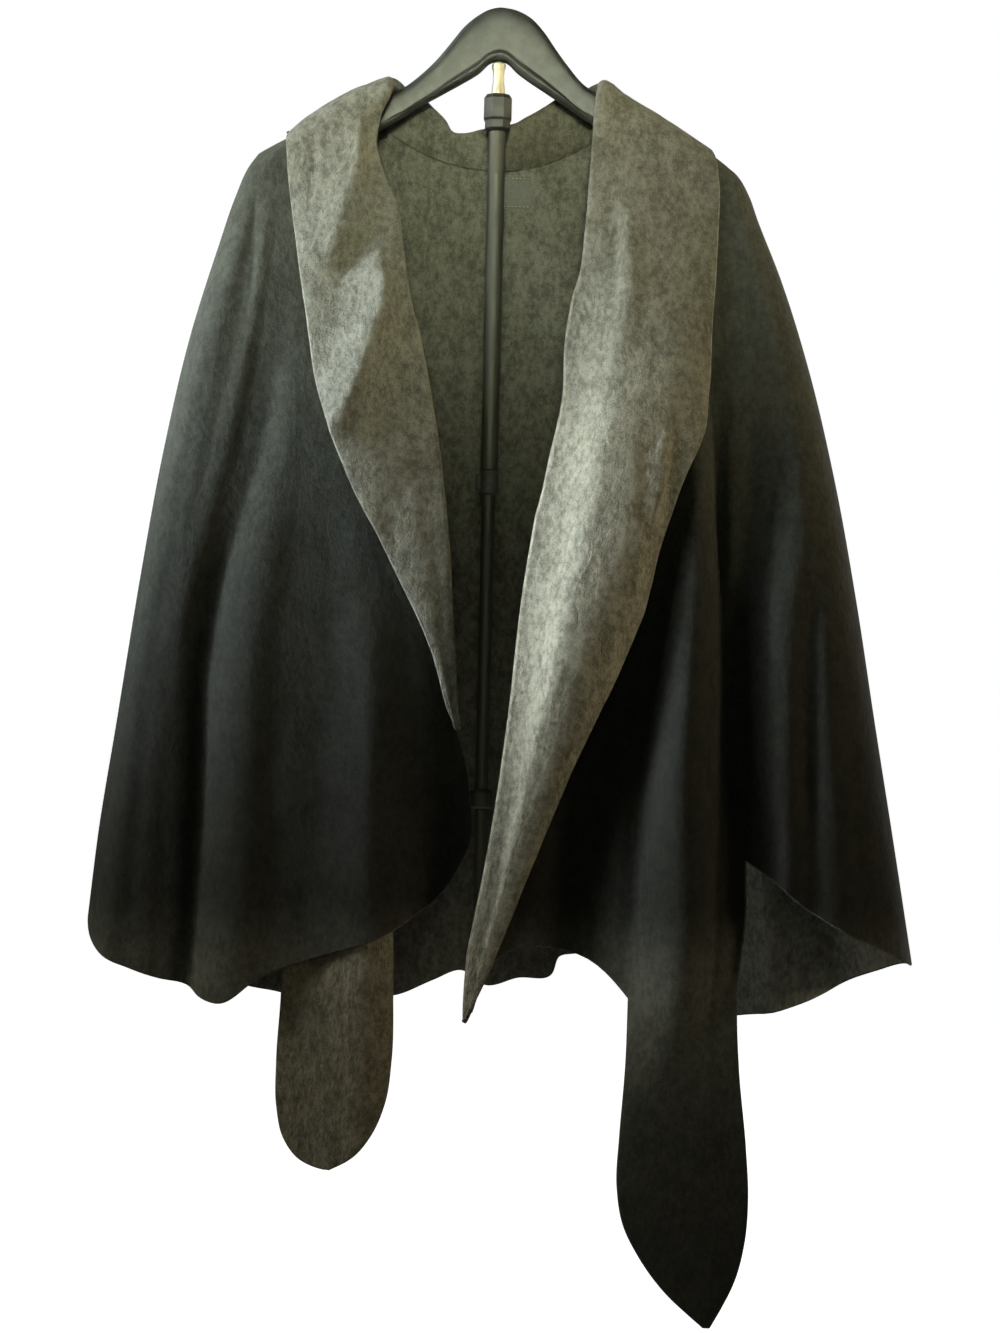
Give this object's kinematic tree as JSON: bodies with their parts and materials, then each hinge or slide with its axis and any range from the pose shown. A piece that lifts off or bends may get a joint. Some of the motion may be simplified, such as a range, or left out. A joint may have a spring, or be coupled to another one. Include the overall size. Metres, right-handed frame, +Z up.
{
  "type": "shawl-collar poncho on a hanger pole",
  "caption": "Open-front wool poncho with a wide turned-over shawl collar and long tails, hung on an arched hanger on a slim pole.",
  "frame": {"origin": "lower end of the pole, on its axis", "axes": "+Z up along the pole, +Y away from the open front, +X towards the wearer's left"},
  "size_m": [0.757, 0.211, 1.1875],
  "materials": {
    "black_wool": "brushed black wool face",
    "grey_wool": "mottled heather grey wool face",
    "hanger_plastic": "satin black",
    "socket_plastic": "satin black",
    "pole_metal": "dark coated tube",
    "brass": "polished",
    "label_cloth": "bare woven patch"
  },
  "bodies": {
    "root": {"back": "black_wool", "front_right": "black_wool", "front_left": "black_wool", "tail_right": "grey_wool", "collar_right": "grey_wool", "collar_left": "grey_wool", "label": "label_cloth", "hanger": "hanger_plastic", "pole_tip": "brass", "pole_socket": "socket_plastic", "pole_upper": "pole_metal", "pole_clamp": "socket_plastic", "pole_middle": "pole_metal", "pole_joint": "socket_plastic", "pole_lower": "pole_metal"}
  },
  "joints": []
}
